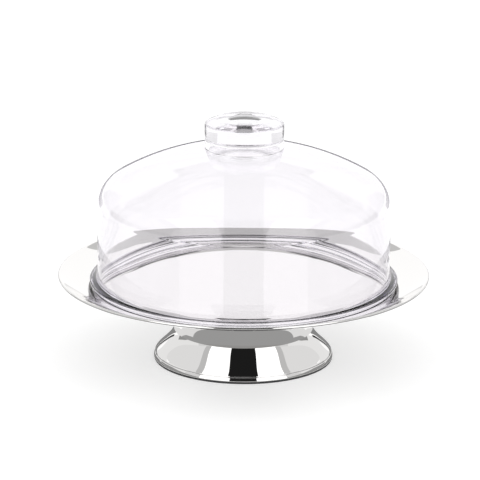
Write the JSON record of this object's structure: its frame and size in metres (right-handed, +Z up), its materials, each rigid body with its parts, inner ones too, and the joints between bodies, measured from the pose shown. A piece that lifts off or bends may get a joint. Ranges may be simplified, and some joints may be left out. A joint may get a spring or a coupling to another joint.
{
  "type": "cake stand dome",
  "caption": "Footed mirror-steel cake stand with a dished plate and a clear lift-off dome with a flanged base and a puck-shaped knob.",
  "frame": {"origin": "centre of the circle that the foot stands on", "axes": "+Z up along the stand's axis; the object is a body of revolution, so X and Y are free"},
  "size_m": [0.33, 0.33, 0.22],
  "materials": {
    "mirror_steel": "mirror polished stainless steel",
    "plain_steel": "plain zinc-plated steel fastener",
    "black_rubber": "soft black rubber, matt",
    "clear_plastic": "clear moulded plastic with a faint lilac cast, glossy"
  },
  "bodies": {
    "stand": {"plate": "mirror_steel", "plate_stud": "plain_steel", "neck_seal": "black_rubber", "foot_shell": "mirror_steel", "foot_washer": "plain_steel", "lock_washer": "plain_steel", "foot_nut": "plain_steel", "foot_grip_ring": "black_rubber"},
    "lid": {"dome": "clear_plastic", "knob": "clear_plastic"}
  },
  "joints": [
    {"name": "dome_lift", "type": "slide", "parent": "stand", "child": "lid", "axis": [0, 0, 1], "range_m": [0, 0.15]}
  ]
}
